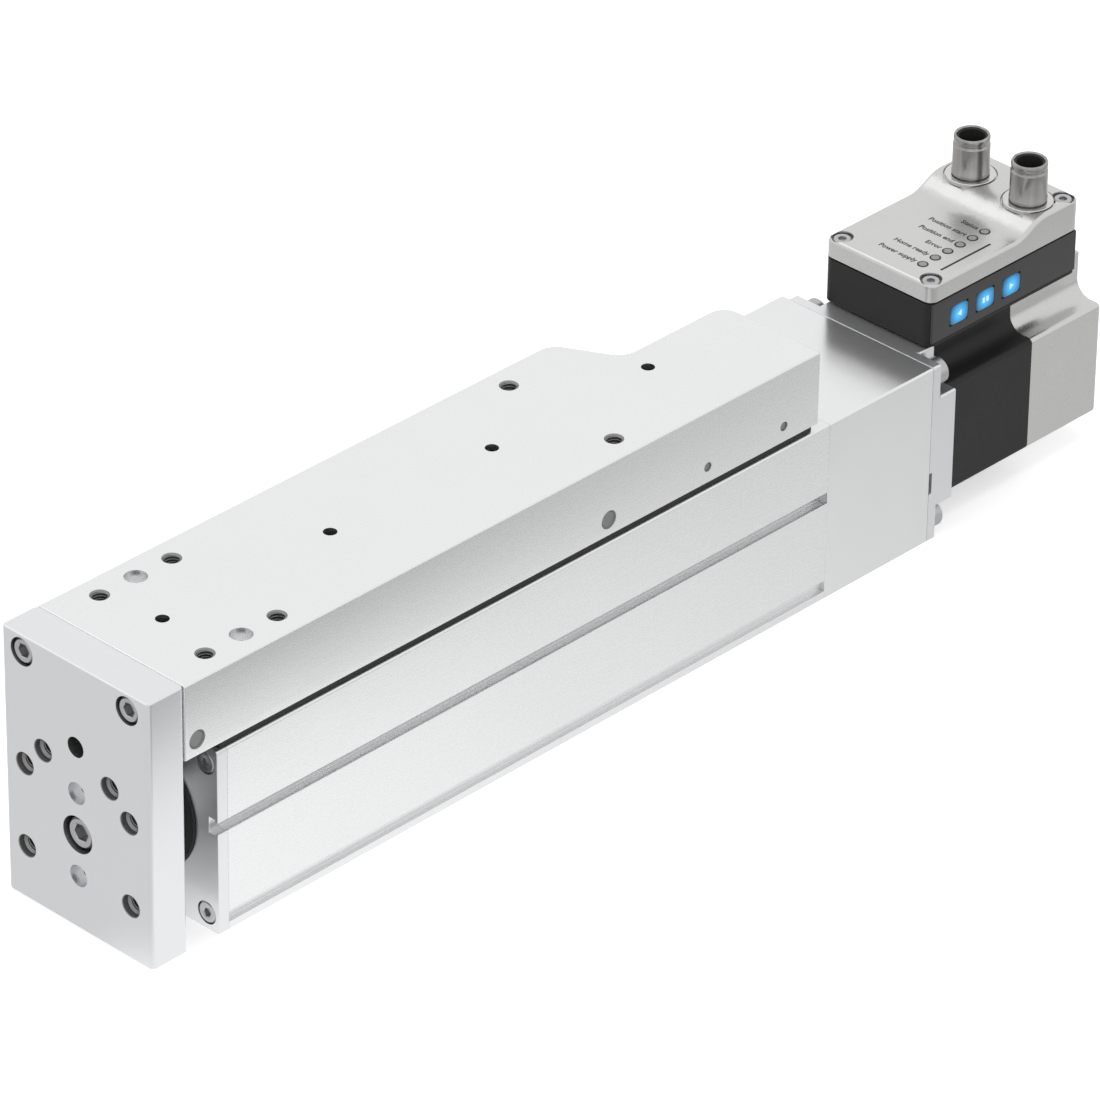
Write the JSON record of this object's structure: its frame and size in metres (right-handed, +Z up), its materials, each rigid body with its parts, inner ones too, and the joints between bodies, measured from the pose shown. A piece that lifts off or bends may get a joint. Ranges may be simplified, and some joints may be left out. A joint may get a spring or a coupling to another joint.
{
  "type": "electric mini slide",
  "caption": "Electric mini slide: a table and front plate on a guide rail, driven by a ball screw and a rear motor with its controller box on top.",
  "frame": {"origin": "centre of the four threaded mounting holes, on the flat underside of the housing", "axes": "+X across the slide to the side with the keys, +Y along it towards the motor, +Z up from the mounting face; the front plate travels along -Y"},
  "size_m": [0.063, 0.413, 0.103],
  "materials": {
    "anodised_aluminium": "satin anodised",
    "plate_aluminium": "satin anodised",
    "cast_aluminium": "fine cast",
    "steel": "ground",
    "screw_steel": "bright",
    "hard_chrome": "polished",
    "black_motor": "satin",
    "black_plastic": "fine matte",
    "black_rubber": "matte",
    "window_plastic": "glossy",
    "key_plastic": "glossy",
    "light_plastic": "translucent",
    "blue_elastomer": "matte",
    "board": "solder mask",
    "brass": "bright",
    "nickel_brass": "nickel plated",
    "magnet": "sintered",
    "bronze": "plain"
  },
  "bodies": {
    "housing": {"housing_profile": "anodised_aluminium", "front_cap": "plate_aluminium", "front_cap_screws": "screw_steel", "rod_wiper": "black_rubber", "rod_bush": "bronze", "end_buffers": "black_rubber", "guide_carriage": "steel", "carriage_seals": "black_rubber", "carriage_screws": "screw_steel", "coupling_housing": "anodised_aluminium", "spindle_bearing_outers": "steel", "bearing_retainer": "steel", "motor_flange": "plate_aluminium", "flange_screws": "screw_steel", "motor_screws": "screw_steel", "motor_body": "black_motor", "motor_bearing_outers": "steel", "end_cap": "cast_aluminium", "end_cap_screws": "screw_steel", "encoder_board": "board", "electronics_base": "black_plastic", "side_window": "window_plastic", "key_switches": "black_plastic", "key_board": "board", "circuit_board": "board", "cover_gasket": "black_rubber", "electronics_cover": "cast_aluminium", "cover_screws": "screw_steel", "status_lights": "light_plastic", "connector_shells": "nickel_brass", "connector_lock_rings": "nickel_brass", "connector_inserts": "black_plastic", "connector_pins": "brass"},
    "spindle": {"ball_screw": "steel", "spindle_lock_nut": "steel", "spindle_bearing_inners": "steel", "spindle_hub": "cast_aluminium", "coupling_spider": "blue_elastomer", "motor_hub": "cast_aluminium", "motor_shaft": "steel", "rotor": "magnet", "motor_bearing_inners": "steel", "encoder_magnet": "magnet"},
    "slide": {"slide": "anodised_aluminium", "slide_plugs": "screw_steel", "guide_rail": "steel", "rail_screws": "screw_steel", "front_plate": "plate_aluminium", "plate_screws": "screw_steel", "rod_screw": "screw_steel", "piston_rod": "hard_chrome", "ball_nut": "steel", "nut_carrier": "cast_aluminium", "guide_ring": "black_plastic", "sensor_magnet": "magnet"},
    "key_1": {"key_1": "key_plastic"},
    "key_2": {"key_2": "key_plastic"},
    "key_3": {"key_3": "key_plastic"}
  },
  "joints": [
    {"name": "slide_travel", "type": "slide", "parent": "housing", "child": "slide", "axis": [0, -1, 0], "range_m": [0, 0.2]},
    {"name": "spindle_turn", "type": "hinge", "parent": "housing", "child": "spindle", "pos_m": [0, 0, 0.0325], "axis": [0, 1, 0], "range_deg": [0, 6001]},
    {"name": "key_1_press", "type": "slide", "parent": "housing", "child": "key_1", "axis": [-1, 0, 0], "range_m": [0, 0.0004], "stiffness_N_per_m": 3000},
    {"name": "key_2_press", "type": "slide", "parent": "housing", "child": "key_2", "axis": [-1, 0, 0], "range_m": [0, 0.0004], "stiffness_N_per_m": 3000},
    {"name": "key_3_press", "type": "slide", "parent": "housing", "child": "key_3", "axis": [-1, 0, 0], "range_m": [0, 0.0004], "stiffness_N_per_m": 3000}
  ],
  "couplings": [
    {"joint": "spindle_turn", "follows": "slide_travel", "rad_per_m": 523.6}
  ]
}
